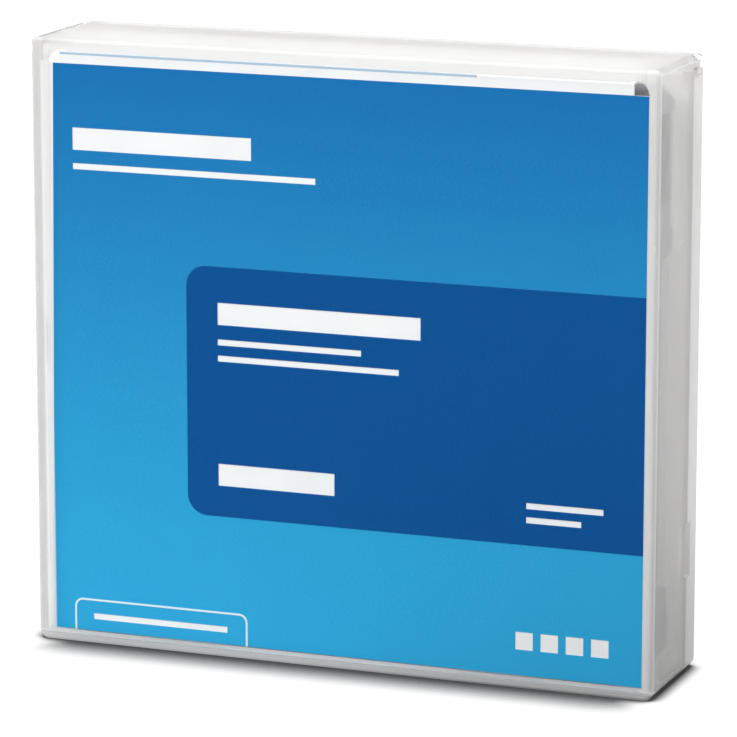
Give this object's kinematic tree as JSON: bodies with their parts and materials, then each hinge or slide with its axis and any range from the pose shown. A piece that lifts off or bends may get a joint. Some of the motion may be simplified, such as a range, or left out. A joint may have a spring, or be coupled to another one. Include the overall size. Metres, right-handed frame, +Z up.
{
  "type": "data tape cartridge in library case",
  "caption": "Half-inch data tape cartridge in its hinged frosted library case, with a blue insert card behind the clear front and a full reel, brake, door and leader pin inside.",
  "frame": {"origin": "middle of the narrow bottom edge that the case stands on", "axes": "+X across the case to the side with the cartridge's door, +Y from front to back, +Z up"},
  "size_m": [0.1156, 0.0252, 0.1093],
  "materials": {
    "case_clear": "frosted clear polypropylene, smooth faces",
    "card_white": "coated white card",
    "sheet_paper": "folded label sheet, uncoated",
    "ink_blue": "printed blue, running from deep at the top to light at the bottom",
    "ink_dark_blue": "printed dark blue",
    "ink_pale": "printed pale line",
    "shell_grey": "fine spark-eroded moulded texture",
    "screw_steel": "zinc plated",
    "door_plastic": "moulded, slightly glossy",
    "spring_steel": "drawn wire",
    "pin_steel": "turned and polished",
    "clamp_plastic": "moulded black",
    "tape_film": "wound coated film, near black",
    "reel_plastic": "moulded, milky",
    "brake_plastic": "moulded acetal",
    "tab_plastic": "moulded red",
    "chip_board": "green circuit board"
  },
  "bodies": {
    "case": {"case_base": "case_clear", "upper_shell": "shell_grey", "lower_shell": "shell_grey", "shell_screws": "screw_steel", "leader_pin": "pin_steel", "pin_clamp": "clamp_plastic", "pin_spring": "spring_steel", "tape_leader": "tape_film", "memory_chip": "chip_board", "door_spring": "spring_steel", "brake_spring": "spring_steel"},
    "lid": {"case_lid": "case_clear", "insert_card": "card_white", "label_sheet": "sheet_paper", "print_blue_field": "ink_blue", "print_dark_panel": "ink_dark_blue", "print_tab_outline": "ink_pale"},
    "reel": {"reel_hub": "reel_plastic", "reel_flange": "reel_plastic", "drive_plate": "pin_steel", "tape_pack": "tape_film"},
    "brake": {"brake_button": "brake_plastic"},
    "release": {"release_plate": "brake_plastic"},
    "door": {"door": "door_plastic"},
    "write_tab": {"write_tab": "tab_plastic"}
  },
  "joints": [
    {"name": "lid_hinge", "type": "hinge", "parent": "case", "child": "lid", "pos_m": [0, 0.0105, 0.1073], "axis": [-1, 0, 0], "range_deg": [0, 90]},
    {"name": "reel_spin", "type": "hinge", "parent": "case", "child": "reel", "pos_m": [0, 0, 0.0525], "axis": [0, 1, 0], "continuous": true},
    {"name": "brake_lift", "type": "slide", "parent": "case", "child": "brake", "axis": [0, -1, 0], "range_m": [0, 0.0015], "stiffness_N_per_m": 300, "springref_m": -0.004, "deforming": ["brake_spring"]},
    {"name": "release_lift", "type": "slide", "parent": "reel", "child": "release", "axis": [0, -1, 0], "range_m": [0, 0.0015]},
    {"name": "door_slide", "type": "slide", "parent": "case", "child": "door", "axis": [0, 0, -1], "range_m": [0, 0.015], "stiffness_N_per_m": 25, "springref_m": -0.006, "deforming": ["door_spring"]},
    {"name": "write_tab_slide", "type": "slide", "parent": "case", "child": "write_tab", "axis": [1, 0, 0], "range_m": [0, 0.004]}
  ],
  "couplings": [
    {"joint": "release_lift", "follows": "brake_lift", "ratio": 1}
  ]
}
